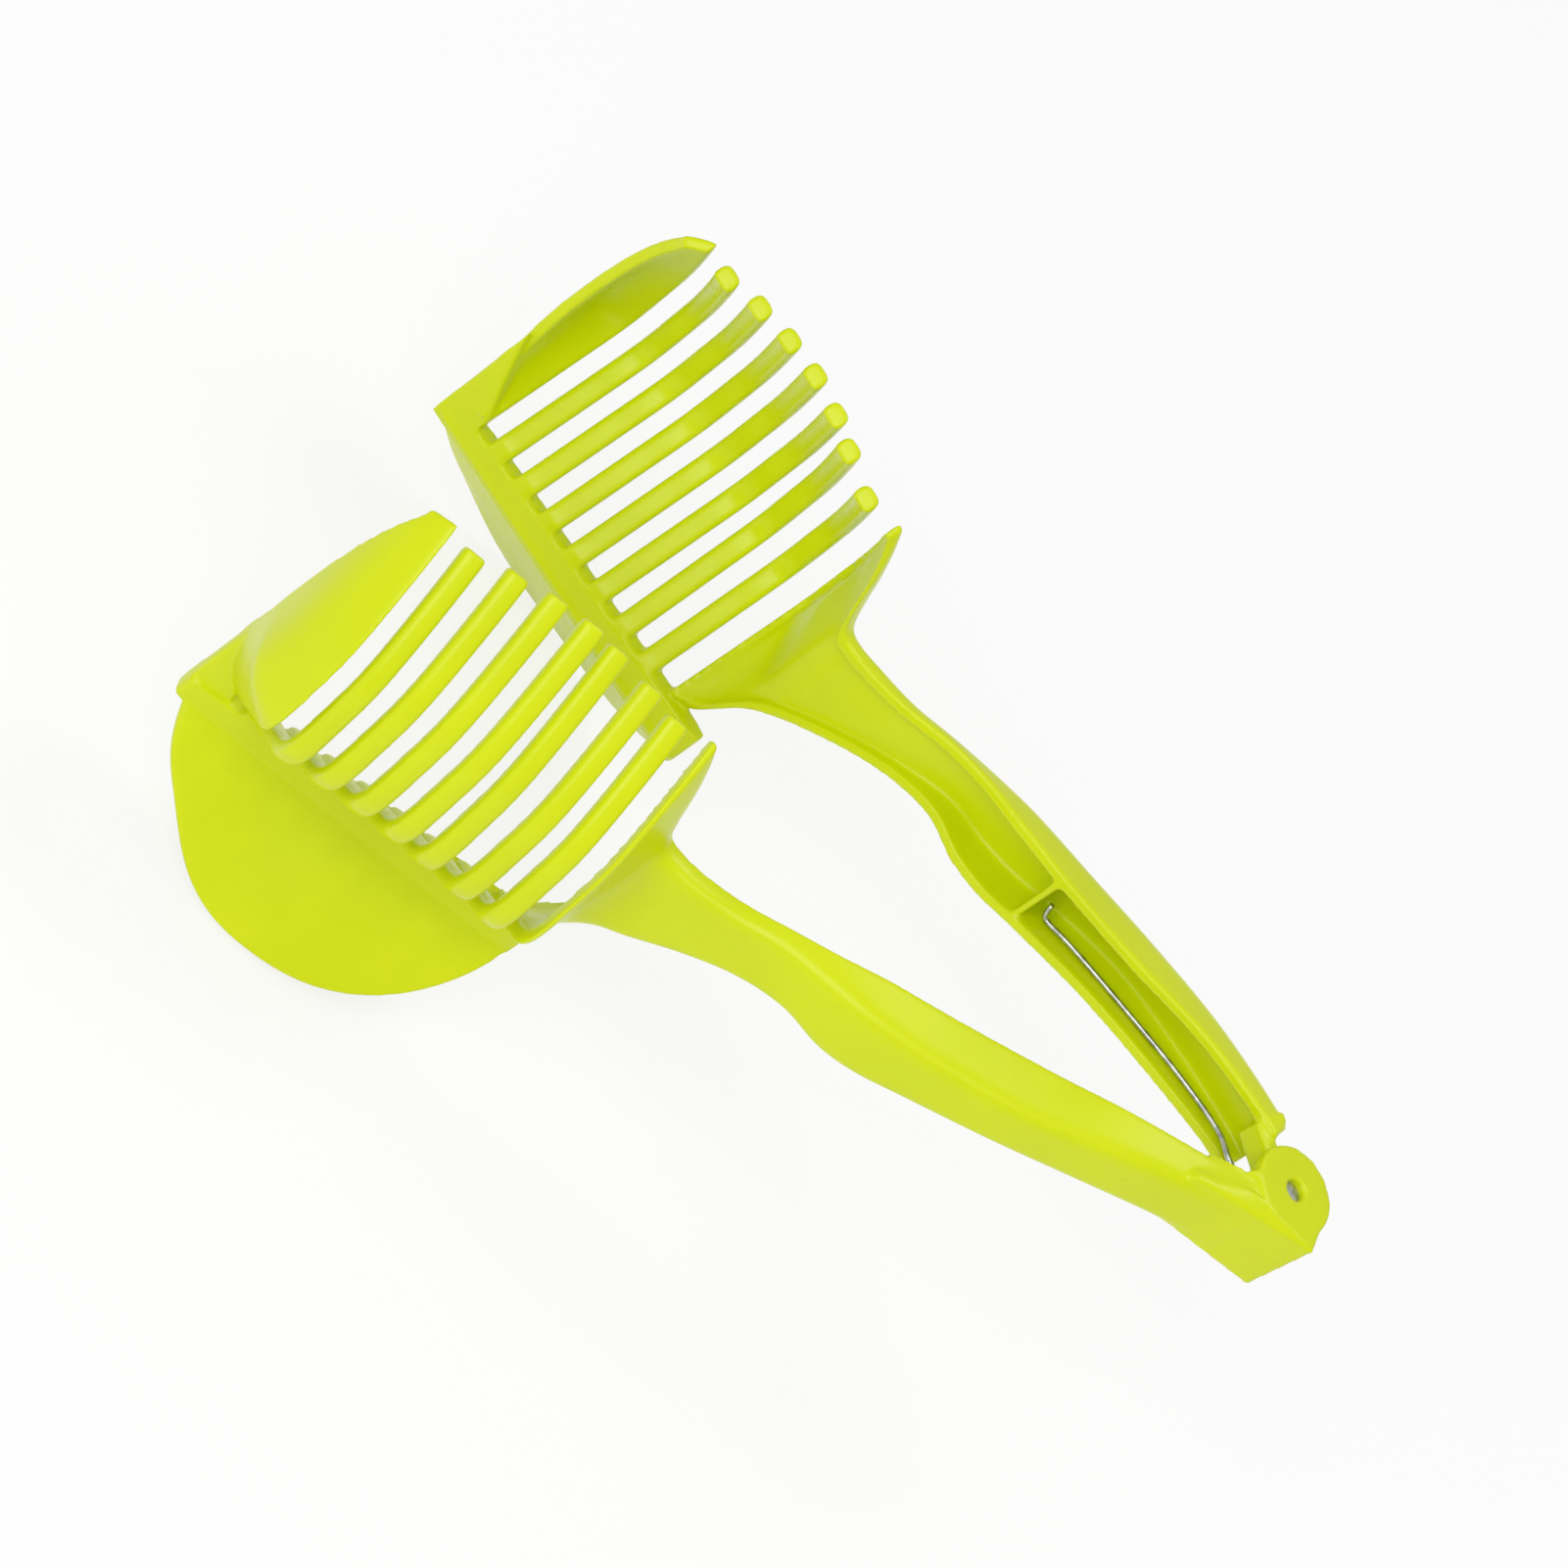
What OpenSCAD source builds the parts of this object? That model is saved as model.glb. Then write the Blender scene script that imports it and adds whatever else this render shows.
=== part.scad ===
// Hand-held egg slicing tongs: two comb jaws on one steel pin, held open by a wire spring.
// Each jaw is drawn shut, beside the middle plane Y = 0, and is then turned open about the pin.
// X runs from the comb tips to the hinge, Y from the front jaw to the rear jaw, Z up.

/* [Comb] */
// Slots cut through each comb
slots = 8; // [5:1:9]
// Distance from one slot to the next
pitch = 7.0; // [6:0.1:9]
// Width of a slot
slot_w = 3.3; // [2:0.1:4.5]
// Thickness of the fingers
finger_t = 3.0; // [2:0.1:4.2]
// Reach of the fingers sideways from the middle plane
cage_r = 24.5; // [20:0.1:30]
// Height from the slot ends to the finger tips
cage_h = 59.6; // [48:0.1:72]
// Rise of the middle finger tips over the outer ones
tip_arch = 4.6; // [0:0.1:6]
// Length of the curved end cap beyond the first slot
cap_len = 10.4; // [7:0.1:13]
// Wall of the end cap, the end wall and the spine
wall = 2.3; // [1.8:0.1:3]

/* [Plate] */
// Depth of the scoop plate away from the middle plane
plate_d = 21.3; // [16:0.1:26]
// Slope of the scoop plate near the spine
plate_slope = 44; // [35:1:52]
// Extra slope of the plate beyond its crease
crease_turn = 7; // [0:1:12]
// Thickness of the scoop plate
plate_t = 2.5; // [1.8:0.1:3.2]

/* [Arm] */
// Length of the arm from the comb to the pin
arm_len = 114.5; // [100:0.5:138]
// Reach of the arm's back from the middle plane at its widest
arm_d = 14.9; // [13.5:0.1:18]
// Height of the arm at its middle
arm_h = 12.2; // [11:0.1:15]
// Wall of the arm's hollow side
arm_wall = 2.0; // [1.4:0.1:2.4]
// Thickness of the cross rib past the end of the spring
rib_t = 1.2; // [0.8:0.1:2]

/* [Hinge] */
// Angle between the two jaws at rest
open_deg = 26.7; // [20:0.1:32]
// Lean of the pin toward the handle end
pin_lean = 5.2; // [0:0.1:6.5]
// Height of the hinge from ear top to ear bottom
hinge_h = 15.4; // [14.8:0.1:18]
// Radius of the round ears
ear_r = 7.5; // [6.6:0.1:8.2]
// Thickness of an ear
ear_t = 2.6; // [2:0.1:3.1]
// Radius of the round knuckle between the ears
leaf_r = 5.8; // [4.9:0.1:6]
// Height of the knuckle above the coil
leaf_t = 5.0; // [4:0.1:5.4]
// Diameter of the pin
pin_d = 3.5; // [2.9:0.1:4]
// Depth of the pin's end below the ear
pin_sink = 1.3; // [0.4:0.1:1.5]
// Gap between a moving face and the face beside it
run_gap = 0.3; // [0.25:0.05:0.5]

/* [Spring] */
// Diameter of the spring wire
wire_d = 1.0; // [0.8:0.05:1.2]
// Turns of the coil that belong to the front leg
coil_turns = 3; // [2:1:3]

/* [Hidden] */

fit_gap = 0.05;
steel = [0.72, 0.73, 0.75];
lime = [0.78, 0.87, 0.10];
half_open = open_deg / 2;
comb_len = (slots - 1) * pitch;
cap_x = -1.6 - cap_len;
comb_end = comb_len + 11;
pivot_x = comb_end + arm_len;
spine_z = -cage_h - 6.6;
rim_v = 2.2;
tip_v = 6.0;
ear_top = -3;
kw = cage_r / 24.5;
kh = cage_h / 59.6;
kd = arm_d / 14.9;
home = [pivot_x - 85.25, 0, spine_z - 22.246];
coil_r = pin_d / 2 + 0.35 + wire_d / 2;
leaf_top = ear_t + run_gap;
room_top = leaf_top + leaf_t;
room_low = hinge_h - ear_t;
turn_step = wire_d * 0.9;
coil_top = room_top + 0.35 + wire_d / 2;
coil_low = coil_top + (coil_turns - 1) * turn_step;
rear_turn = coil_low + wire_d + 0.3;

// Middle line of a finger, from the tip round to the slot's end, as distance out and height.
cage_pts = [
    [tip_v - 9, 4.6], [tip_v, 0], [19.0 * kw, -17.8 * kh], [23.2 * kw, -29.8 * kh],
    [24.3 * kw, -40.6 * kh], [16.8 * kw, -48.8 * kh], [4.5, -cage_h], [-8, -cage_h - 10]
];

// Arm from comb to pin: part of the length, back, open side, rise of the top edge, height.
arm_rows = [
    [-0.10, 9.0, 5.2, 0, 3.0], [0.00, 9.0, 5.6, 0, 2.75], [0.07, 9.4, 6.0, -0.05, 2.05],
    [0.14, 9.7, 6.4, 0, 1.66], [0.21, 10.0, 6.6, 0.08, 1.33], [0.28, 11.4, 6.6, 0.13, 1.02],
    [0.35, 13.3, 6.2, 0.18, 1.00], [0.48, 14.9, 5.4, 0.34, 0.95], [0.61, 14.5, 4.8, 0.545, 0.87],
    [0.74, 12.3, 4.3, 0.80, 0.94], [0.87, 10.0, 3.8, 0.97, 1.00], [0.95, 9.1, 3.6, 1.0, 1.04],
    [1.06, 8.4, 3.5, 1.0, 1.10], [1.16, 8.0, 3.5, 1.0, 1.12]
];

// Smooth line through the inner points of a list, n steps between neighbours.
function knot(a, b, c, d, t) =
    0.5 * (2 * b + (c - a) * t + (2 * a - 5 * b + 4 * c - d) * t * t
    + (3 * b - a - 3 * c + d) * t * t * t);
function smooth(p, n) = concat(
    [for (i = [1 : len(p) - 3]) for (j = [0 : n - 1]) knot(p[i - 1], p[i], p[i + 1], p[i + 2], j / n)],
    [p[len(p) - 2]]);
function unit(v) = v / norm(v);
function side(c, i) =
    let (a = c[max(i - 1, 0)], b = c[min(i + 1, len(c) - 1)], d = unit(b - a)) [-d[1], d[0]];
function strip(c, t) = concat(
    [for (i = [0 : len(c) - 1]) c[i] + side(c, i) * t / 2],
    [for (i = [len(c) - 1 : -1 : 0]) c[i] - side(c, i) * t / 2]);

cage_line = smooth(cage_pts, 5);
arm_line = smooth(arm_rows, 3);
function arm_x(r) = comb_end + r[0] * arm_len;
function arm_top(r) = -20.4 + 15.5 * r[3];
function arm_low(r) = arm_top(r) - arm_h * r[4];

// Height of the tip of finger k, counted from the cap end.
function tip_z(k) = tip_arch * (0.53 - pow((k - slots / 2) / (slots / 2 - 1), 2));
function lift(c, z) = [for (p = c) [p[0], p[1] + z * (1 + p[1] / cage_h)]];

// Turns a drawing of [out, up] into a slab between two X positions.
module along_x(x0, x1) {
    translate([x0, 0, 0])
        rotate([90, 0, 90])
            linear_extrude(x1 - x0)
                children();
}

// Turns a drawing of [X, up] into a slab between two distances from the middle plane.
module out_y(y0, y1) {
    translate([0, y1, 0])
        rotate([90, 0, 0])
            linear_extrude(y1 - y0)
                children();
}

module finger(k) {
    x0 = (k - 1) * pitch + slot_w / 2;
    along_x(x0, x0 + pitch - slot_w)
        polygon(strip(lift(cage_line, tip_z(k)), finger_t));
}

module cage_fill(grow) {
    edge = [for (i = [0 : len(cage_line) - 1]) cage_line[i] + side(cage_line, i) * grow];
    intersection() {
        polygon(concat(edge, [[-20, -cage_h], [-20, 0]]));
        translate([rim_v, -cage_h - 20])
            square([cage_r + 20, cage_h + 30]);
    }
}

// Outline of the cap from the side: a bow from the tip down to the kink, then straight.
function cap_edge(grow) = [
    [-2.0, -1.5], [-4.6 + grow, -4.2], [-6.9 + grow, -8.6], [-8.7 + grow, -14.8],
    [-9.8 + grow, -22], [-10.3 + grow, -30], [-9.9 + grow, -37], [-9.2 + grow, -41],
    [-9.0 + grow, -50], [-8.7 + grow, -60], [-8.7 + grow, spine_z - 2]];
function cap_place(p) = [p[0] * cap_len / 10.4, p[1] * kh];

module cap_side(grow) {
    polygon(concat([for (p = cap_edge(grow)) cap_place(p)], [[4, spine_z - 2], [4, -1]]));
}

function wall_edge(grow) = [
    [2.4, -1.0], [3.4 - grow, -4.5], [5.8 - grow, -10.3], [7.6 - grow, -15.6], [9.9 - grow, -20.2],
    [11 - grow, -26], [11 - grow, -50], [12 - grow, spine_z - 2]];

module wall_side(grow) {
    polygon(concat([for (p = wall_edge(grow)) [comb_len + p[0], p[1] * kh]],
        [[comb_len - 3, spine_z - 2], [comb_len - 3, 0]]));
}

// Curved cap that closes the comb at the tip end.
module cap() {
    difference() {
        intersection() {
            along_x(cap_x - 4, -slot_w / 2)
                cage_fill(finger_t / 2);
            out_y(-1, 60)
                cap_side(0);
        }
        intersection() {
            along_x(cap_x - 4, 1)
                cage_fill(-finger_t / 2);
            out_y(-1, 60)
                cap_side(wall);
        }
    }
}

// Wall that closes the comb at the handle end.
module end_wall() {
    difference() {
        intersection() {
            along_x(comb_len + slot_w / 2, comb_end + 1)
                cage_fill(finger_t / 2);
            out_y(-1, 60)
                wall_side(0);
        }
        intersection() {
            along_x(comb_len - 1, comb_end + 1)
                cage_fill(-finger_t / 2);
            out_y(-1, 60)
                wall_side(wall);
        }
    }
}

// Flat back wall that carries every finger and the scoop plate.
module spine() {
    translate([-8.7 * cap_len / 10.4, rim_v + 0.5, spine_z - 0.5])
        cube([comb_end + 8.7 * cap_len / 10.4, wall + 1.2, 7.1]);
}

// D-shaped scoop plate, sloping down and out from the spine.
module plate() {
    turn = plate_slope + crease_turn;
    bend = [11, spine_z - 7 * tan(plate_slope)];
    far = bend + 22 * [cos(turn), -sin(turn)];
    mid_x = comb_len * 0.6;
    tip_half = mid_x + 8.7 * cap_len / 10.4;
    hand_half = comb_end + 1.5 - mid_x;
    intersection() {
        along_x(-20, comb_end + 4)
            polygon(strip([[3.2, spine_z + 0.8 * tan(plate_slope)], [4, spine_z], bend, far], plate_t));
        translate([0, 0, -cage_h * 2])
            linear_extrude(cage_h * 2)
                polygon(concat(
                    [[mid_x + hand_half, rim_v], [mid_x - tip_half, rim_v]],
                    [for (a = [180 : -5 : 0])
                        [mid_x + cos(a) * (a > 90 ? tip_half : hand_half),
                            rim_v + 1.8 + (plate_d - 4) * pow(sin(a), 1.15)]]));
    }
}

module arm_plan(grow, x0, x1) {
    intersection() {
        polygon(concat(
            [for (r = arm_line) [arm_x(r), r[1] * kd - grow]],
            [for (i = [len(arm_line) - 1 : -1 : 0])
                [arm_x(arm_line[i]), grow > 0 ? -1 : arm_line[i][2]]]));
        translate([x0, -2])
            square([x1 - x0, 40]);
    }
}

module arm_side(grow) {
    polygon(concat(
        [for (r = arm_line) [arm_x(r), arm_top(r) - grow]],
        [for (i = [len(arm_line) - 1 : -1 : 0])
            [arm_x(arm_line[i]), arm_low(arm_line[i]) + grow]]));
}

module arm_band(grow, x0, x1) {
    intersection() {
        translate([0, 0, -80])
            linear_extrude(90)
                arm_plan(grow, x0, x1);
        out_y(-3, 50)
            arm_side(grow);
    }
}

rib_x = comb_end + arm_len * 0.463;

// Channel-shaped arm, hollow toward the other jaw, with its cross rib.
module arm(end_x) {
    difference() {
        arm_band(0, comb_end - 3, end_x);
        difference() {
            arm_band(arm_wall, comb_end + 1, end_x - arm_wall);
            translate([rib_x, 0, -60])
                cube([rib_t, 40, 60]);
        }
    }
}

module comb() {
    for (k = [1 : slots - 1]) {
        finger(k);
    }
    cap();
    end_wall();
    spine();
    plate();
}

// Keeps what is above the slots' ends clear of the spine, so each slot stays open.
module slot_ends() {
    for (k = [0 : slots - 1]) {
        translate([k * pitch, rim_v - 3, -cage_h])
            rotate([-90, 0, 0])
                cylinder(d = slot_w, h = 8, $fn = 32);
    }
}

// Places a drawing whose Z = 0 is the ear's top face on the leaning pin, still shut.
module on_pin() {
    translate([pivot_x, 0, ear_top])
        rotate([0, pin_lean, 0])
            children();
}

// Turns a shut drawing open about the pin.
module opened(a) {
    translate([pivot_x, 0, ear_top] - home)
        rotate(a = a, v = [sin(pin_lean), 0, cos(pin_lean)])
            translate([-pivot_x, 0, -ear_top])
                children();
}

module disc(r, z0, z1) {
    translate([0, 0, -z1])
        cylinder(r = r, h = z1 - z0, $fn = 64);
}

module heel_plan(r, out) {
    circle(r = r, $fn = 64);
    polygon([[-15.5, 3.2], [-15.5, out + 1.0], [r - 0.3, out], [r - 0.3, 0], [0, 0], [-6.5, 3.2]]);
}

// Ears and heel of the front jaw, drawn on the pin, with its back toward +Y.
module ears() {
    difference() {
        translate([0, 0, -hinge_h])
            linear_extrude(hinge_h)
                heel_plan(ear_r, 8.4);
        translate([0, 0, -hinge_h + ear_t])
            linear_extrude(hinge_h - 2 * ear_t)
                heel_room();
        disc(pin_d / 2 + fit_gap, -1, hinge_h + 1);
        disc(pin_d / 2 + 0.5, -1, pin_sink);
        disc(pin_d / 2 + 0.5, hinge_h - pin_sink, hinge_h + 1);
    }
}

module heel_room() {
    far = leaf_r + run_gap + 0.1;
    circle(r = far, $fn = 64);
    polygon([[-18, -12], [-18, far + 1.5], [-14, far + 1.4], [-7, far], [0, far], [0, 0], [12, 0],
        [12, -12]]);
}

// Round knuckle of the rear jaw, drawn on the pin, with its back toward +Y.
module knuckle() {
    difference() {
        translate([0, 0, -room_top])
            linear_extrude(leaf_t) {
                circle(r = leaf_r, $fn = 64);
                polygon([[-12, 3.4], [-12, 8.4], [-9.5, 8.6], [-8.2, 5.2], [0, leaf_r - 0.2], [0, 0],
                    [-7.5, 0]]);
            }
        disc(pin_d / 2 + fit_gap, -1, hinge_h + 1);
    }
}

module jaw(end_x) {
    difference() {
        comb();
        slot_ends();
    }
    arm(end_x);
}

module rear_jaw() {
    color(lime)
        opened(-half_open) {
            difference() {
                jaw(pivot_x - 8.6);
                on_pin()
                    translate([-13.5, -2, -room_low + 0.4])
                        cube([10, 8.6, room_low - room_top - 0.4]);
            }
            on_pin()
                knuckle();
        }
}

module front_jaw() {
    color(lime)
        opened(half_open)
            mirror([0, 1, 0]) {
                difference() {
                    jaw(pivot_x - 7);
                    on_pin()
                        translate([0, 0, -hinge_h + ear_t])
                            linear_extrude(hinge_h - 2 * ear_t)
                                heel_room();
                    on_pin()
                        disc(ear_r + 0.5, -6, 0);
                }
                on_pin()
                    ears();
            }
}

module hinge_pin() {
    color(steel)
        opened(0)
            on_pin()
                disc(pin_d / 2, pin_sink, hinge_h - pin_sink);
}

// Closed turns of the coil round the pin, n of them from depth z down.
module coil(z, n) {
    rotate_extrude($fn = 48)
        for (i = [0 : n - 1]) {
            translate([coil_r, -z - i * turn_step])
                rotate(22.5)
                    circle(d = wire_d, $fn = 8);
        }
}

// Straight run of wire, and the slightly fuller bend at its start.
module rod(a, b) {
    d = b - a;
    translate(a)
        rotate([0, acos(d[2] / norm(d)), atan2(d[1], d[0])])
            cylinder(d = wire_d, h = norm(d), $fn = 24);
    translate(a)
        sphere(d = wire_d * 1.05, $fn = 24);
}

// Leg of the spring in the hollow of an arm, ending in a short upward finger.
module leg(z) {
    x0 = pivot_x - sin(pin_lean) * z;
    z0 = ear_top - cos(pin_lean) * z;
    x1 = pivot_x - 0.13 * arm_len;
    x2 = pivot_x - 0.36 * arm_len;
    x3 = rib_x + rib_t + 1.8;
    out = 10.6 * kd;
    end = [x3 + 1.5, out, -21.6];
    path = concat(
        [[x0, coil_r, z0], [x0 - 8.4, coil_r + 0.8, z0 + 0.75], [x1, 6.0 * kd, -13.2],
            [x2, 9.4 * kd, -18.2]],
        [for (t = [15 : 20 : 75]) end + 1.5 * [-sin(t), 0, 1 - cos(t)]],
        [[x3 - 0.4, out, -18.0]]);
    for (i = [0 : len(path) - 2]) {
        rod(path[i], path[i + 1]);
    }
}

module spring_front() {
    color(steel)
        opened(half_open)
            mirror([0, 1, 0]) {
                on_pin()
                    coil(coil_top, coil_turns);
                leg(coil_low);
            }
}

module spring_rear() {
    color(steel)
        opened(-half_open) {
            on_pin()
                coil(rear_turn, 1);
            leg(rear_turn);
        }
}

front_jaw();
rear_jaw();
hinge_pin();
spring_front();
spring_rear();
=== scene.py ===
import math

import bmesh
import bpy
import numpy as np
from mathutils import Matrix, Vector


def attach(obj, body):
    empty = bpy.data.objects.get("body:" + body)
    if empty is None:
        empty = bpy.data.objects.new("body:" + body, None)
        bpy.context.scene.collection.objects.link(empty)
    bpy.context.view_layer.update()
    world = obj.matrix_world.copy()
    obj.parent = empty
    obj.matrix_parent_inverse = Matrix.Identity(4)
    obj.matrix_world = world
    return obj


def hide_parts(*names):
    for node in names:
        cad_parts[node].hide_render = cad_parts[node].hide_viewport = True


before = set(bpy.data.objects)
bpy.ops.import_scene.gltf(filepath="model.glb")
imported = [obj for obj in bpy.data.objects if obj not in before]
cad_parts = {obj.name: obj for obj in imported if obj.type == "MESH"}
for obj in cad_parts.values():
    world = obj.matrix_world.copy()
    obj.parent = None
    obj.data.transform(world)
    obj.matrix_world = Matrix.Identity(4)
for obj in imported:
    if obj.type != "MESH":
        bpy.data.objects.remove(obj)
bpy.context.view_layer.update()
print("frame loaded:", sorted(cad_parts))

mm = 0.001

# the shut tongs are drawn in mm with the first slot at x 0, finger tips at z 0, out from the middle at y
hinge = dict(
    x=174.5, top=-3.0, lean=5.2, halfOpen=13.35, height=15.4, earRadius=7.75, earThick=2.6,
    knuckleRadius=5.8, knuckleHeight=5.0, gap=0.3, boreRadius=1.8, home=(89.25, 0.0, -88.446),
)
comb = dict(
    slots=8, pitch=7.0, slotWidth=2.95, thick=3.2, height=59.6, arch=4.2, tipDrop=0.2, skew=0.045,
    handDrop=0.9, root=[(4.1, -61.2), (3.9, -62.6), (3.8, -64.0)],
    line=[(-4.2, 4.6), (4.8, 0), (18.8, -17.8), (23.2, -29.8), (24.3, -40.6), (16.8, -48.8),
          (4.5, -59.6), (-8, -69.6)],
)


# ---- shaping helpers: every shape is an array of points, changed as a whole

def curveThrough(points, count):
    # smooth line through the inner points of a list, as count points an even arc apart
    p = np.array(points, float)
    t = np.linspace(0, 1, 40, endpoint=False)[:, None]
    runs = []
    for a, b, c, d in zip(p[:-3], p[1:-2], p[2:-1], p[3:]):
        runs.append(0.5 * (2 * b + (c - a) * t + (2 * a - 5 * b + 4 * c - d) * t ** 2
                           + (3 * b - a - 3 * c + d) * t ** 3))
    q = np.vstack(runs + [p[-2][None]])
    s = np.concatenate([[0], np.cumsum(np.linalg.norm(np.diff(q, axis=0), axis=1))])
    u = np.linspace(0, s[-1], count)
    return np.stack([np.interp(u, s, q[:, k]) for k in range(q.shape[1])], axis=1)


def sidesOf(line):
    # unit normals on the left of a line of [out, up] points, which is the outer side of a comb
    d = np.gradient(line, axis=0)
    d /= np.linalg.norm(d, axis=1, keepdims=True)
    return np.stack([-d[:, 1], d[:, 0]], axis=1)


def easeBetween(x, a, b):
    # 0 before a, 1 after b, and a smooth S between them
    t = np.clip((np.asarray(x, float) - a) / (b - a), 0, 1)
    return t * t * (3 - 2 * t)


def tubeFaces(rows, cols):
    # faces of a closed loop of cols points carried through rows, with both ends fanned to a point
    i, j = np.meshgrid(np.arange(rows - 1), np.arange(cols), indexing="ij")
    k = (j + 1) % cols
    quads = np.stack([i * cols + j, i * cols + k, (i + 1) * cols + k, (i + 1) * cols + j], axis=-1)
    quads = quads.reshape(-1, 4).tolist()
    j = np.arange(cols)
    k = (j + 1) % cols
    first, last = rows * cols, rows * cols + 1
    ends = np.concatenate([
        np.stack([k, j, np.full(cols, first)], axis=1),
        np.stack([(rows - 1) * cols + j, (rows - 1) * cols + k, np.full(cols, last)], axis=1),
    ]).tolist()
    return quads + ends


def loft(loops):
    # closed solid through a stack of loops, as (points, faces)
    loops = np.asarray(loops, float)
    rows, cols = loops.shape[:2]
    points = np.vstack([loops.reshape(-1, 3), loops[0].mean(0)[None], loops[-1].mean(0)[None]])
    return points, tubeFaces(rows, cols)


def shell(outer, inner):
    # closed solid between two grids of the same size: each row runs out on one and back on the other
    return loft(np.concatenate([outer, inner[:, ::-1]], axis=1))


def ringSolid(radius, bore, low, high, count=96):
    # disc of any plan radius with a round bore: outline up the outside and down the bore, closed on itself
    a = np.linspace(0, 2 * np.pi, count, endpoint=False)
    ring = np.stack([np.cos(a), np.sin(a)], axis=1)
    corners = [(radius, low), (radius, high), (bore, high), (bore, low)]
    points = np.concatenate([np.column_stack([ring * r, np.full(count, z)]) for r, z in corners])
    i, j = np.meshgrid(np.arange(4), np.arange(count), indexing="ij")
    i2, j2 = (i + 1) % 4, (j + 1) % count
    faces = np.stack([i * count + j, i * count + j2, i2 * count + j2, i2 * count + j], axis=-1)
    return points, faces.reshape(-1, 4).tolist()


def prism(plan, low, high):
    # straight solid on a plan of [x, y] points
    plan = np.array(plan, float)
    loops = [np.column_stack([plan, np.full(len(plan), z)]) for z in (low, high)]
    return loft(loops)


def onPin(points):
    # from the ear's top face and the pin's axis to the shut tongs
    a = math.radians(hinge["lean"])
    x, y, z = np.asarray(points, float).T
    return np.stack([hinge["x"] + x * math.cos(a) + z * math.sin(a), y,
                     hinge["top"] - x * math.sin(a) + z * math.cos(a)], axis=1)


def opened(points, side):
    # from the shut tongs to the row frame, in metres: side 1 is the rear jaw, -1 the front
    # the combs lean along x as they reach out, so that a straight cut passes both
    p = np.array(points, float)
    inComb = 1 - easeBetween(p[:, 0], 49, 60)
    p[:, 0] -= side * comb["skew"] * np.maximum(p[:, 1] - 5, 0) * inComb * easeBetween(p[:, 2], -66, -58)
    p[:, 1] *= side
    pin = Vector((hinge["x"], 0, hinge["top"]))
    lean = math.radians(hinge["lean"])
    axis = Vector((math.sin(lean), 0, math.cos(lean)))
    turn = np.array(Matrix.Rotation(math.radians(-side * hinge["halfOpen"]), 3, axis))
    return ((p - pin) @ turn.T + pin - np.array(hinge["home"])) * mm


def makeObject(name, solids, side):
    # one object from many closed solids; a mirrored jaw has its faces turned back
    points, faces, start = [], [], 0
    for solidPoints, solidFaces in solids:
        points.append(solidPoints)
        faces += [[start + k for k in f] for f in solidFaces]
        start += len(solidPoints)
    mesh = bpy.data.meshes.new(name)
    mesh.from_pydata(opened(np.vstack(points), side).tolist(), [], faces)
    mesh.validate()
    obj = bpy.data.objects.new(name, mesh)
    bpy.context.scene.collection.objects.link(obj)
    b = bmesh.new()
    b.from_mesh(mesh)
    bmesh.ops.recalc_face_normals(b, faces=b.faces)
    b.to_mesh(mesh)
    b.free()
    return obj


mould = dict(voxel=0.32, smoothings=22, ease=0.5, triangles=190000)


def triangleCount(mesh):
    return sum(len(p.vertices) - 2 for p in mesh.polygons)


def moulded(obj):
    # grows the overlapping solids into one skin, then eases every edge as a mould does
    grow = obj.modifiers.new("skin", "REMESH")
    grow.mode = "VOXEL"
    grow.voxel_size = mould["voxel"] * mm
    ease = obj.modifiers.new("ease", "SMOOTH")
    ease.factor = mould["ease"]
    ease.iterations = mould["smoothings"]
    bpy.context.view_layer.update()
    full = obj.evaluated_get(bpy.context.evaluated_depsgraph_get()).data
    thin = obj.modifiers.new("thin", "DECIMATE")
    thin.ratio = min(1.0, mould["triangles"] / triangleCount(full))
    bpy.context.view_layer.update()
    done = bpy.data.meshes.new_from_object(obj.evaluated_get(bpy.context.evaluated_depsgraph_get()))
    obj.modifiers.clear()
    obj.data = done
    done.shade_smooth()
    print(obj.name, "triangles", triangleCount(done))
    return obj


# ---- the comb: fingers, caps and spine

combLine = curveThrough(comb["line"], 90)


def combDepth(out, up):
    # distance of [out, up] points from the fingers' middle line
    q = np.stack([out, up], axis=-1)[..., None, :]
    return np.sqrt(((q - combLine) ** 2).sum(-1)).min(-1)


def fingerSolid(k, bend):
    # rounded bar along the middle line and on into the spine; the tips of a comb follow a parabola,
    # lower towards the hand, and the bar's section is a squared ellipse, fuller on its outer side
    middle = comb["slots"] / 2
    tip = comb["arch"] * (0.53 - ((k - middle) / (middle - 1)) ** 2) - comb["tipDrop"]
    tip -= comb["handDrop"] * easeBetween(k, 4, 6)
    line = combLine.copy()
    line[:, 1] += tip * (1 + line[:, 1] / comb["height"])
    line = np.vstack([line, comb["root"]])
    side = sidesOf(line)
    a = np.linspace(0, 2 * np.pi, 28, endpoint=False)
    across = np.sign(np.cos(a)) * np.abs(np.cos(a)) ** 0.45
    power = np.where(np.sin(a) > 0, 0.8, 0.4)
    out = np.sign(np.sin(a)) * np.abs(np.sin(a)) ** power
    wide = (comb["pitch"] - comb["slotWidth"]) / 2
    out = out * np.where(out > 0, comb["thick"] * 0.56, comb["thick"] * 0.48)
    bent = bend * np.linspace(1, 0, len(line))[:, None]
    x = (k - 0.5) * comb["pitch"] + across[None] * wide * 1.03 + bent
    yz = line[:, None, :] + side[:, None, :] * out[None, :, None]
    return loft(np.concatenate([x[..., None], yz], axis=2))


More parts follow.
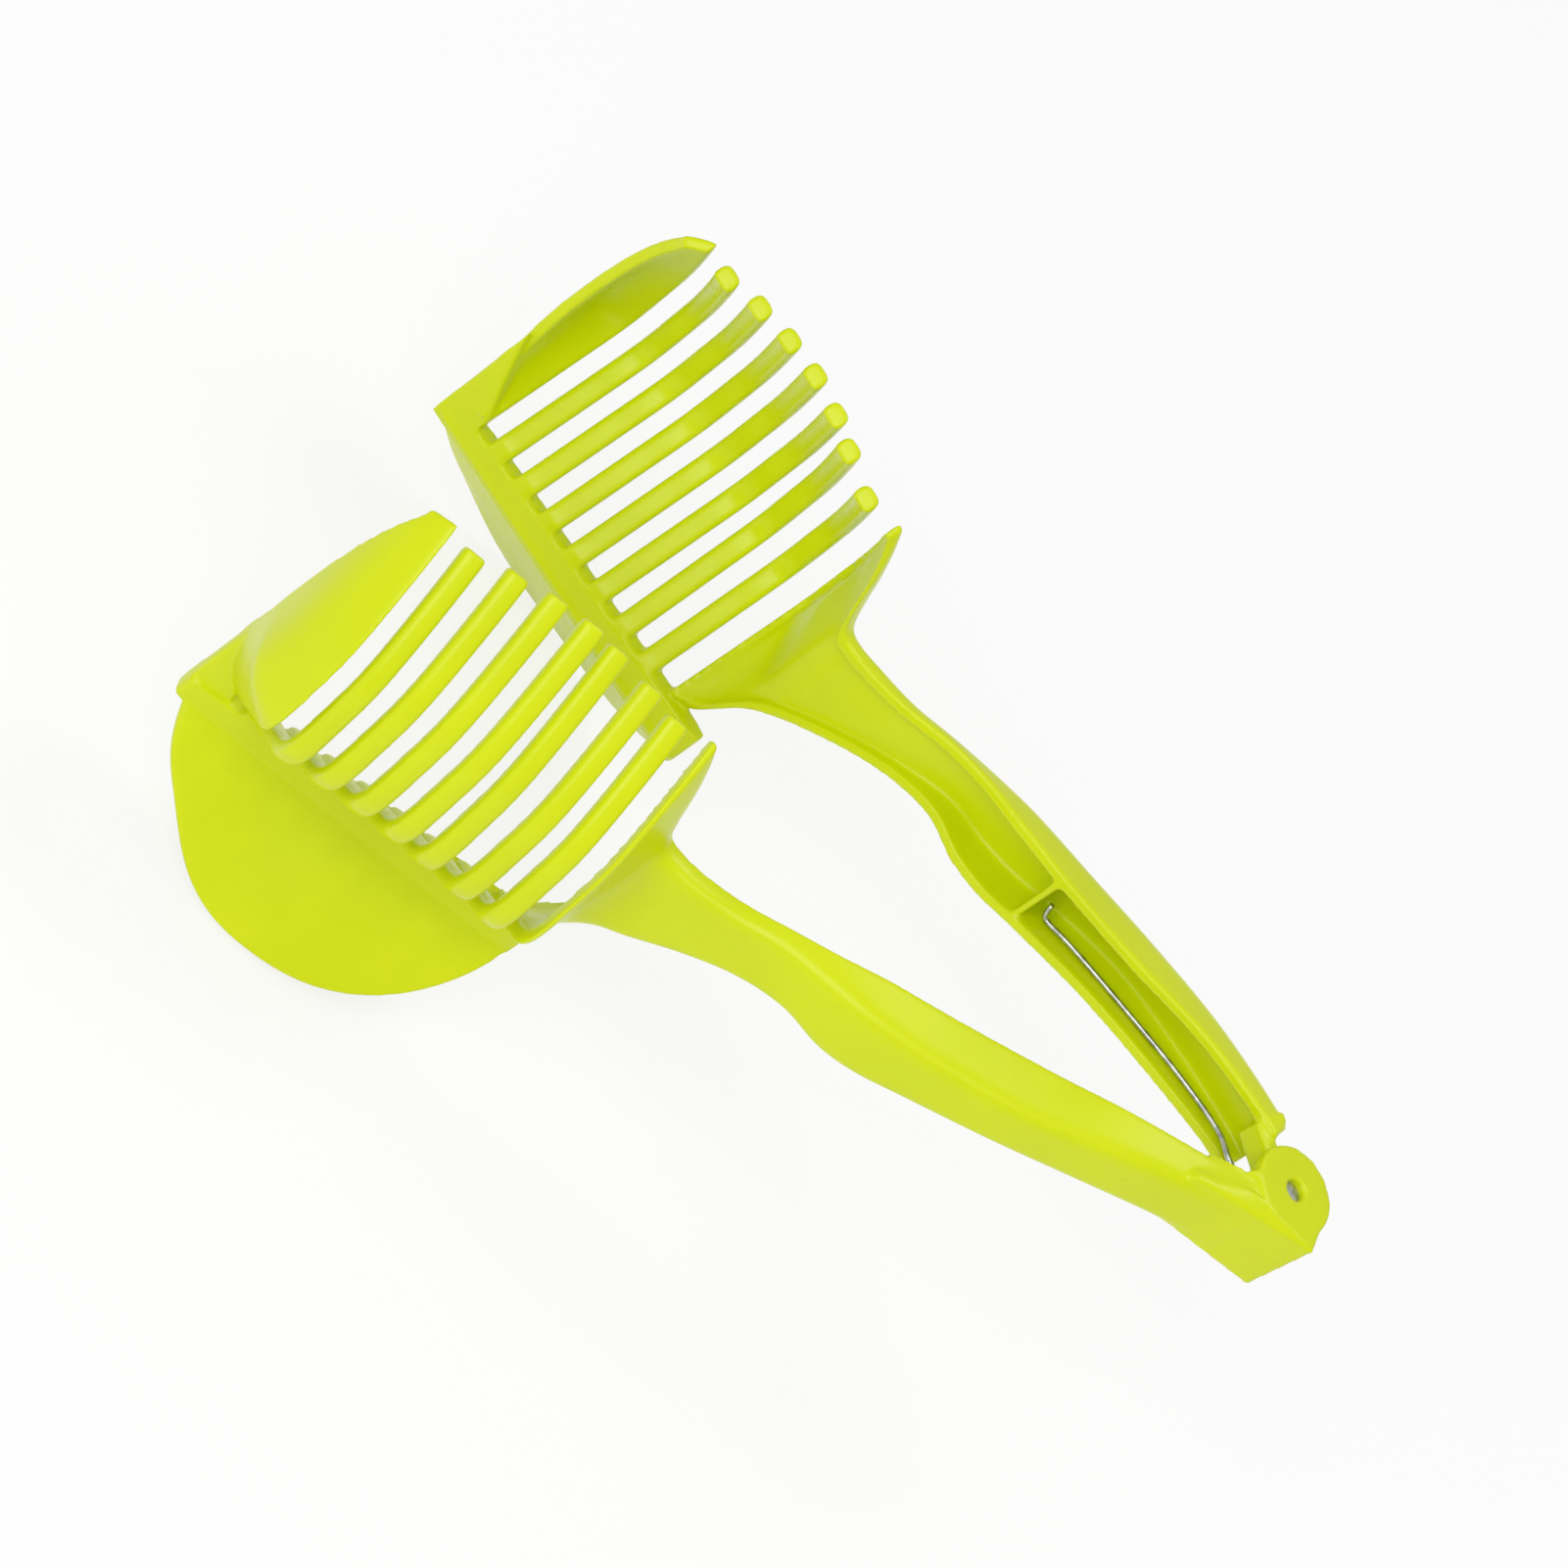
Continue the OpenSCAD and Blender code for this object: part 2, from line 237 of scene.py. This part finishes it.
def capGrid(push):
    # end cap as a bulge over the comb's hollow: steep beside the slot, then nearly flat, fuller outwards
    t = np.linspace(0, 1, 80)
    r = np.linspace(0, 1, 34) ** 1.3
    start = combLine[np.linspace(0, len(combLine) - 1, 80).astype(int)]
    rim = np.stack([2.4 + 2.2 * np.sin(np.pi * t) ** 0.4, -2.9 - 56.3 * t ** 0.9], axis=1)
    yz = start[:, None] * (1 - r[None, :, None]) + rim[:, None] * r[None, :, None]
    deep = combDepth(yz[..., 0], yz[..., 1])
    lean = 0.0075 * np.maximum(yz[..., 0] - 2, 0) ** 2 * (1 - np.exp(-(deep / 6) ** 2))
    x = -(1.5 + 8.2 * (1 - np.exp(-deep / 5.2)) + lean)
    grid = np.concatenate([x[..., None], yz], axis=2)
    du = np.gradient(grid, axis=0)
    dv = np.gradient(grid, axis=1)
    n = np.cross(du, dv)
    n /= np.linalg.norm(n, axis=2, keepdims=True) + 1e-9
    n *= np.sign(n[40, 20, 0]) * -1
    moved = grid + n * push
    moved[..., 0] = np.minimum(moved[..., 0], -comb["slotWidth"] / 2)
    return moved


def capSolid():
    # the cap's surface moved out and in by fixed amounts, closed at the edges
    return shell(capGrid(0.3), capGrid(-1.8))


arm = dict(
    # station along x, back, open side, top, bottom, squareness, wall
    rows=[(42, 26.0, 4.9, 0.8, -60.0, 0.0, 3.0), (51.4, 25.9, 4.9, -0.2, -61.0, 0.0, 3.0),
          (53.2, 22.8, 4.9, -2.2, -60.4, 0.05, 3.0), (56.0, 17.0, 4.9, -9.4, -58.2, 0.25, 2.8),
          (58.4, 12.8, 5.1, -17.6, -53.6, 0.55, 2.6), (60.4, 11.2, 5.4, -22.6, -49.8, 0.8, 2.5),
          (63.5, 10.4, 5.9, -23.6, -46.3, 0.95, 2.4), (68.0, 11.0, 6.6, -23.6, -42.8, 1, 2.3),
          (76.0, 11.5, 7.1, -22.4, -37.2, 1, 2.2), (84.0, 12.3, 7.3, -20.0, -32.9, 1, 2.2),
          (92.0, 13.9, 7.0, -18.4, -30.4, 1, 2.1), (100.0, 15.5, 6.2, -17.0, -30.9, 1, 2.1),
          (107.0, 16.1, 5.8, -15.9, -29.9, 1, 2.1), (115.0, 16.3, 5.4, -14.6, -27.2, 1, 2.1),
          (130.0, 16.0, 4.8, -11.5, -22.7, 1, 2.1), (145.0, 13.9, 4.3, -7.7, -19.7, 1, 2.1),
          (160.0, 11.1, 3.8, -5.1, -17.5, 1, 2.1), (168.0, 9.6, 3.6, -4.8, -17.6, 1, 2.1),
          (178.0, 8.7, 3.5, -4.8, -18.1, 1, 2.1), (190.0, 8.0, 3.5, -4.8, -18.4, 1, 2.1)],
    brimOut=1.4, brimUp=1.6, ribX=113.0, ribThick=1.2,
)


def armSolid(endX):
    # outer and inner grids of one skin from the comb's end to the hinge: along x its section blends from
    # the comb's curve to a superellipse channel, half a wall to each side, with a brim on the open top edge
    rows = curveThrough(arm["rows"], 260)
    rows = rows[rows[:, 0] <= endX]
    m = 60
    unitComb = combLine[np.linspace(0, len(combLine) - 1, m).astype(int)]
    unitComb = np.stack([(unitComb[:, 0] - 5.0) / 19.5, unitComb[:, 1] / -59.6], axis=1)
    a = np.linspace(-np.pi / 2, np.pi / 2, m)
    square = np.stack([np.abs(np.cos(a)) ** 0.22,
                       0.5 + 0.5 * np.sign(a) * np.abs(np.sin(a)) ** 0.22], axis=1)
    x, back, front, top, low, squared, wall = [rows[:, k][:, None] for k in range(7)]
    squared = np.clip(squared, 0, 1)
    u = unitComb[None, :, 0] * (1 - squared) + square[None, :, 0] * squared
    w = unitComb[None, :, 1] * (1 - squared) + square[None, :, 1] * squared
    half = wall / 2
    y = front + (back - half - front) * u
    z = top - half + (low + half - (top - half)) * w
    brim = easeBetween(x, 64, 96) * (1 - 0.5 * easeBetween(x, 145, 168)) * (1 - u) * (1 - w) ** 4
    y = y + arm["brimOut"] * brim
    z = z + arm["brimUp"] * brim
    line = np.stack([y, z], axis=2)
    d = np.gradient(line, axis=1)
    d /= np.linalg.norm(d, axis=2, keepdims=True) + 1e-9
    n = np.stack([-d[..., 1], d[..., 0]], axis=2)
    xs = np.broadcast_to(x[..., None], line.shape[:2] + (1,))
    outer = np.concatenate([xs, line + n * half[..., None]], axis=2)
    inner = np.concatenate([xs, line - n * half[..., None]], axis=2)
    return outer, inner


spine = dict(x0=-8.9, x1=58.2, low=-67.3, high=-60.3, topAbove=-62, slope=0.045, levelX=30)


def spineSolids():
    # back wall under the slots, its top slanted in a straight line along x, and the web beside the cap
    x0, x1 = spine["x0"], spine["x1"]
    plan = [(x0, 2.4), (x1, 2.4), (x1 + 2.5, 3.2), (x1 + 2.5, 5.6), (x1, 6.2), (x0 + 0.6, 6.2), (x0, 5.2)]
    foot = prism(plan, spine["low"], spine["high"])
    points = foot[0]
    isTop = points[:, 2] > spine["topAbove"]
    points[isTop, 2] += spine["slope"] * (points[isTop, 0] - spine["levelX"])
    edge = [(x0, -66), (x0, -41), (-7.0, -46), (-4.6, -52), (-1.5, -58.6), (-1.5, -66)]
    cheek = loft([[(x, out, z) for x, z in edge] for out in (2.3, 5.0)])
    return [foot, cheek]


plate = dict(rootZ=-66.0, rimOut=21.7, middleX=29.0, tipHalf=36.2, handHalf=31.4, thick=2.5,
             creaseOut=10.5, innerSlope=43.0, outerSlope=51.0)


def plateSolid():
    # D-shaped scoop: half ellipses out from the spine, bent a little along a crease
    g = plate
    a = np.linspace(np.pi, 0, 150)
    reach = np.where(a > np.pi / 2, g["tipHalf"], g["handHalf"])
    rimX = g["middleX"] + np.sign(np.cos(a)) * np.abs(np.cos(a)) ** 0.94 * reach
    fall = 1.2 + 0.1 * easeBetween(a, np.pi * 0.5, np.pi * 0.62)
    flat = 1 - 0.1 * np.exp(-((a - 2.4) / 0.32) ** 2)
    rimOut = 3.4 + (g["rimOut"] - 3.4) * np.sin(a) ** fall * flat
    s = np.linspace(0, 1, 40)
    x = rimX[:, None] * np.ones_like(s)
    out = 2.4 + (rimOut[:, None] - 2.4) * s
    soft = 1.2
    bend = soft * np.log1p(np.exp((out - g["creaseOut"]) / soft))
    inner, outer = math.tan(math.radians(g["innerSlope"])), math.tan(math.radians(g["outerSlope"]))
    z = g["rootZ"] - (out - 3.9) * inner - bend * (outer - inner)
    z = z - 1.6 * (1 - easeBetween(x, 8, 36)) * easeBetween(out, 4, 12)
    grid = np.stack([x, out, z], axis=2)
    n = np.cross(np.gradient(grid, axis=0), np.gradient(grid, axis=1))
    n /= np.linalg.norm(n, axis=2, keepdims=True) + 1e-9
    n *= np.sign(n[75, 20, 2])
    return shell(grid + n * g["thick"] / 2, grid - n * g["thick"] / 2)


def pinned(solid):
    # a solid drawn round the pin, moved to the shut tongs
    return onPin(solid[0]), solid[1]


def combSolids(bends):
    # all that makes one comb; bends gives the sideways bend at a finger's tip in mm
    solids = [fingerSolid(k, bends.get(k, 0)) for k in range(1, comb["slots"])]
    solids += [capSolid(), plateSolid()] + spineSolids()
    return solids


def jawSolids(endX, bends):
    # comb, arm up to endX and the rib across the arm's channel
    outer, inner = armSolid(endX)
    keep = outer[:, 0, 0] >= 7 * comb["pitch"] - 0.1
    solids = combSolids(bends) + [shell(outer[keep], inner[keep])]
    r, half = arm["ribX"], arm["ribThick"] / 2
    solids.append(prism([(r - half, 6.2), (r + half, 6.2), (r + half, 14), (r - half, 14)], -26.2, -15.4))
    return solids


def sunk(solid):
    # the top of a hinge block drops by 3 mm on a smooth S to meet the arm
    points, faces = solid
    points[:, 2] -= 3.0 * easeBetween(-points[:, 0], 7, 16) * (points[:, 2] > -7)
    return points, faces


def heelSolids():
    # round ears joined by a squared back wall
    h = hinge
    low = -h["height"]
    solids = []
    for z0, z1 in ((-h["earThick"], 0), (low, low + h["earThick"])):
        solids.append(pinned(ringSolid(h["earRadius"], h["boreRadius"], z0, z1)))
        solids.append(pinned(sunk(prism([(-15.5, 3.6), (-15.5, 10.4), (7.0, 7.9), (7.2, 1.0), (2.4, 2.2),
                                         (-2.4, 2.2), (-7.2, 1.0), (-9.0, 3.4)], z0, z1))))
    wall = [(-17, 8.8), (-17, 10.7), (7.0, 8.0), (7.2, 1.5), (6.9, 1.5), (6.5, 6.0), (-7, 6.5), (-14, 8.2)]
    solids.append(pinned(sunk(prism(wall, low, 0))))
    return solids


def knuckleSolids():
    # round knuckle between the ears, with its neck and a web down to the arm
    h = hinge
    top = -h["earThick"] - h["gap"]
    low = top - h["knuckleHeight"]
    solids = [pinned(ringSolid(h["knuckleRadius"], h["boreRadius"], low, top))]
    solids.append(pinned(prism([(-12, 3.4), (-12, 8.4), (-9.5, 8.6), (-8.2, 5.2), (-1.5, 5.4), (-2.6, 2.0),
                                (-5.4, 1.4), (-7.5, 2.0)], low, top)))
    solids.append(pinned(prism([(-9.2, 5.0), (-11.5, 5.0), (-11.5, 9.4), (-9.6, 9.2)], low - 0.2, -2.0)))
    return solids


rearJaw = makeObject("rearJaw", jawSolids(165.9, {6: -1.2, 7: -0.4}) + knuckleSolids(), 1)
moulded(rearJaw)
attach(rearJaw, "rear")
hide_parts("rear_jaw")

frontJaw = makeObject("frontJaw", jawSolids(170.0, {5: -1.2}) + heelSolids(), -1)
moulded(frontJaw)
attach(frontJaw, "front")
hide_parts("front_jaw")
print("jaws made")

# ---- the wire spring and the pin

wire = dict(radius=0.5, coilRadius=2.6, frontTop=-8.75, step=0.9, frontTurns=2.75, rearDepth=-11.85,
            rearTurns=0.95)


def tubeAlong(path, radius, sides=16):
    # round wire carried along a path with no twist
    p = np.array(path, float)
    d = np.gradient(p, axis=0)
    d /= np.linalg.norm(d, axis=1, keepdims=True)
    up = np.zeros_like(d)
    v = np.array([0.13, 0.31, 0.94])
    for i, t in enumerate(d):
        v = v - t * (v @ t)
        v /= np.linalg.norm(v)
        up[i] = v
    sideways = np.cross(d, up)
    a = np.linspace(0, 2 * np.pi, sides, endpoint=False)
    loops = p[:, None] + radius * (np.cos(a)[None, :, None] * up[:, None]
                                   + np.sin(a)[None, :, None] * sideways[:, None])
    return loft(loops)


def springPath(topZ, lowZ, turns):
    # helix round the pin, then the leg in the arm's hollow, bent up at its end
    g = wire
    a = np.pi / 2 - np.linspace(2 * np.pi * turns, 0, int(turns * 40))
    coil = onPin(np.stack([g["coilRadius"] * np.cos(a), g["coilRadius"] * np.sin(a),
                           np.linspace(topZ, lowZ, len(a))], axis=1))
    x0, y0, z0 = coil[-1]
    legPoints = [(x0 + 6, y0 - 0.5, z0), (x0, y0, z0), (x0 - 8.4, y0 + 0.8, z0 + 0.75), (159.6, 5.6, -14.4),
                 (148.0, 7.2, -16.3), (133.3, 8.3, -19.3), (122.0, 9.0, -21.8), (117.6, 9.2, -23.1),
                 (116.2, 9.2, -23.1), (115.6, 9.2, -22.2), (115.2, 9.2, -20.5), (115.0, 9.2, -17.8)]
    leg = curveThrough(legPoints, 160)
    return np.vstack([coil[:-1], leg])


springs = {}
for name, body, side, top, low, turns in (
        ("springFront", "front", -1, wire["frontTop"], wire["frontTop"] - 2 * wire["step"],
         wire["frontTurns"]),
        ("springRear", "rear", 1, wire["rearDepth"], wire["rearDepth"], wire["rearTurns"])):
    piece = makeObject(name, [tubeAlong(springPath(top, low, turns), wire["radius"])], side)
    piece.data.shade_smooth()
    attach(piece, body)
    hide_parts("spring_front" if side < 0 else "spring_rear")
    springs[name] = piece
print("springs made")

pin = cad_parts["hinge_pin"]


# ---- finishes

def colourOf(code):
    # sRGB hex to linear
    s = np.array([int(code[k:k + 2], 16) / 255 for k in (1, 3, 5)])
    lin = np.where(s <= 0.04045, s / 12.92, ((s + 0.055) / 1.055) ** 2.4)
    return (*lin.tolist(), 1.0)


def addNode(tree, kind, settings, links=()):
    # one node with its settings, fed by (input, output socket) pairs
    node = tree.nodes.new(kind)
    for key, value in settings.items():
        if key in node.inputs:
            node.inputs[key].default_value = value
        else:
            setattr(node, key, value)
    for target, source in links:
        tree.links.new(node.inputs[target], source)
    return node


def startMaterial(name):
    mat = bpy.data.materials.new(name)
    mat.use_nodes = True
    tree = mat.node_tree
    tree.nodes.clear()
    coords = addNode(tree, "ShaderNodeTexCoord", {})
    return mat, tree, coords.outputs["Object"]


def endMaterial(tree, shader):
    addNode(tree, "ShaderNodeOutputMaterial", {}, [("Surface", shader.outputs[0])])


def limePolypropylene():
    # injection-moulded polypropylene: even, slightly milky lime with a polished mould's soft gloss
    mat, tree, place = startMaterial("limePolypropylene")
    cloud = addNode(tree, "ShaderNodeTexNoise", {"Scale": 45.0, "Detail": 3.0}, [("Vector", place)])
    tint = addNode(tree, "ShaderNodeValToRGB", {}, [("Fac", cloud.outputs["Fac"])])
    tint.color_ramp.elements[0].position = 0.3
    tint.color_ramp.elements[0].color = colourOf("#cdda00")
    tint.color_ramp.elements[1].position = 0.7
    tint.color_ramp.elements[1].color = colourOf("#d4e000")
    gloss = addNode(tree, "ShaderNodeTexNoise", {"Scale": 120.0, "Detail": 2.0}, [("Vector", place)])
    rough = addNode(tree, "ShaderNodeMapRange",
                    {"From Min": 0.3, "From Max": 0.7, "To Min": 0.27, "To Max": 0.35},
                    [("Value", gloss.outputs["Fac"])])
    grain = addNode(tree, "ShaderNodeTexNoise", {"Scale": 900.0, "Detail": 2.0}, [("Vector", place)])
    flow = addNode(tree, "ShaderNodeTexNoise", {"Scale": 60.0, "Detail": 1.0}, [("Vector", place)])
    fine = addNode(tree, "ShaderNodeBump", {"Strength": 0.03, "Distance": 0.0001},
                   [("Height", grain.outputs["Fac"])])
    wave = addNode(tree, "ShaderNodeBump", {"Strength": 0.05, "Distance": 0.0004},
                   [("Height", flow.outputs["Fac"]), ("Normal", fine.outputs["Normal"])])
    shader = addNode(tree, "ShaderNodeBsdfPrincipled",
                     {"IOR": 1.49, "Specular IOR Level": 0.32, "Subsurface Weight": 0.1,
                      "Subsurface Scale": 0.002, "Subsurface Radius": (1.0, 1.0, 0.25)},
                     [("Base Color", tint.outputs["Color"]), ("Roughness", rough.outputs["Result"]),
                      ("Normal", wave.outputs["Normal"])])
    endMaterial(tree, shader)
    return mat


def springSteel():
    # drawn steel wire and pin: bright grey with fine die marks
    mat, tree, place = startMaterial("springSteel")
    marks = addNode(tree, "ShaderNodeTexNoise", {"Scale": 700.0, "Detail": 3.0}, [("Vector", place)])
    tint = addNode(tree, "ShaderNodeValToRGB", {}, [("Fac", marks.outputs["Fac"])])
    tint.color_ramp.elements[0].position = 0.35
    tint.color_ramp.elements[0].color = colourOf("#a2a4a6")
    tint.color_ramp.elements[1].position = 0.65
    tint.color_ramp.elements[1].color = colourOf("#d4d6d8")
    rough = addNode(tree, "ShaderNodeMapRange", {"To Min": 0.22, "To Max": 0.38},
                    [("Value", marks.outputs["Fac"])])
    dents = addNode(tree, "ShaderNodeBump", {"Strength": 0.1, "Distance": 0.0001},
                    [("Height", marks.outputs["Fac"])])
    shader = addNode(tree, "ShaderNodeBsdfPrincipled", {"Metallic": 1.0},
                     [("Base Color", tint.outputs["Color"]), ("Roughness", rough.outputs["Result"]),
                      ("Normal", dents.outputs["Normal"])])
    endMaterial(tree, shader)
    return mat


lime = limePolypropylene()
steel = springSteel()
for pieces, material in (
        ((rearJaw, frontJaw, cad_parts["front_jaw"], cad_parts["rear_jaw"]), lime),
        ((pin, *springs.values(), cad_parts["spring_front"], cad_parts["spring_rear"]), steel)):
    for piece in pieces:
        piece.data.materials.clear()
        piece.data.materials.append(material)
print("finishes set")

# ---- floor, light and camera

studio = dict(floorSize=40.0, floorColour="#fafafa", worldStrength=0.52, whiteShare=0.75)

floorMesh = bpy.data.meshes.new("floor")
half = studio["floorSize"] / 2
floorCorners = [(-half, -half, 0), (half, -half, 0), (half, half, 0), (-half, half, 0)]
floorMesh.from_pydata(floorCorners, [], [(0, 1, 2, 3)])
floor = bpy.data.objects.new("floor", floorMesh)
bpy.context.scene.collection.objects.link(floor)
floorMat, floorTree, _ = startMaterial("paleBackdrop")
paint = addNode(floorTree, "ShaderNodeBsdfDiffuse", {"Color": colourOf(studio["floorColour"])})
glow = addNode(floorTree, "ShaderNodeEmission", {"Color": (1, 1, 1, 1), "Strength": 1.0})
rays = addNode(floorTree, "ShaderNodeLightPath", {})
seen = addNode(floorTree, "ShaderNodeMath", {"operation": "MAXIMUM"})
floorTree.links.new(seen.inputs[0], rays.outputs["Is Camera Ray"])
floorTree.links.new(seen.inputs[1], rays.outputs["Is Glossy Ray"])
share = addNode(floorTree, "ShaderNodeMath", {"operation": "MULTIPLY"})
floorTree.links.new(share.inputs[0], seen.outputs[0])
share.inputs[1].default_value = studio["whiteShare"]
backdrop = addNode(floorTree, "ShaderNodeMixShader", {})
floorTree.links.new(backdrop.inputs[0], share.outputs[0])
floorTree.links.new(backdrop.inputs[1], paint.outputs[0])
floorTree.links.new(backdrop.inputs[2], glow.outputs[0])
endMaterial(floorTree, backdrop)
floorMesh.materials.append(floorMat)

world = bpy.data.worlds.new("studioWorld")
bpy.context.scene.world = world
world.use_nodes = True
world.node_tree.nodes["Background"].inputs["Color"].default_value = (1, 1, 1, 1)
world.node_tree.nodes["Background"].inputs["Strength"].default_value = studio["worldStrength"]


def softBox(name, place, aim, size, power):
    # square studio lamp pointed at a place
    data = bpy.data.lights.new(name, "AREA")
    data.shape = "SQUARE"
    data.size = size
    data.energy = power
    lamp = bpy.data.objects.new(name, data)
    lamp.location = place
    lamp.rotation_euler = (Vector(aim) - Vector(place)).to_track_quat("-Z", "Y").to_euler()
    bpy.context.scene.collection.objects.link(lamp)


softBox("keyLamp", (-0.35, -1.0, 0.95), (-0.02, -0.02, 0.05), 1.0, 10.0)
softBox("topLamp", (0.25, 0.35, 1.2), (0, 0, 0.05), 0.5, 3.0)

bpy.context.scene.view_settings.view_transform = "Standard"

view = dict(elevation=40.25, roll=-61.27, azimuth=-14.1, target=(-110.5, -48.26, 20.0), distance=1541.0,
            lens=232.5)


def aimCamera():
    # camera solved in a frame whose Z is the pin, turned back by the pin's lean into the row frame
    e, r, a = (math.radians(view[k]) for k in ("elevation", "roll", "azimuth"))
    back = Vector((math.sin(a) * math.cos(e), -math.cos(a) * math.cos(e), math.sin(e)))
    right = Vector((math.cos(a), math.sin(a), 0))
    up = back.cross(right)
    turnedRight = right * math.cos(r) - up * math.sin(r)
    turnedUp = right * math.sin(r) + up * math.cos(r)
    g = math.radians(hinge["lean"])
    toRow = Matrix(((math.cos(g), 0, math.sin(g)), (0, 1, 0), (-math.sin(g), 0, math.cos(g))))
    shift = Vector((-176 + 21 * math.sin(g), 0, 18.5 - 21 * math.cos(g)))
    spot = Vector(view["target"]) + back * view["distance"]
    place = (toRow @ (spot - shift) - Vector(hinge["home"])) * mm
    cols = [toRow @ v for v in (turnedRight, turnedUp, back)]
    placed = Matrix.Identity(4)
    for k, v in enumerate(cols):
        for row in range(3):
            placed[row][k] = v[row]
    placed.translation = place
    data = bpy.data.cameras.new("camera")
    data.lens = view["lens"]
    data.sensor_width = 36.0
    data.clip_start = 0.05
    data.clip_end = 100.0
    cam = bpy.data.objects.new("camera", data)
    cam.matrix_world = placed
    bpy.context.scene.collection.objects.link(cam)
    bpy.context.scene.camera = cam


aimCamera()
print("camera set")
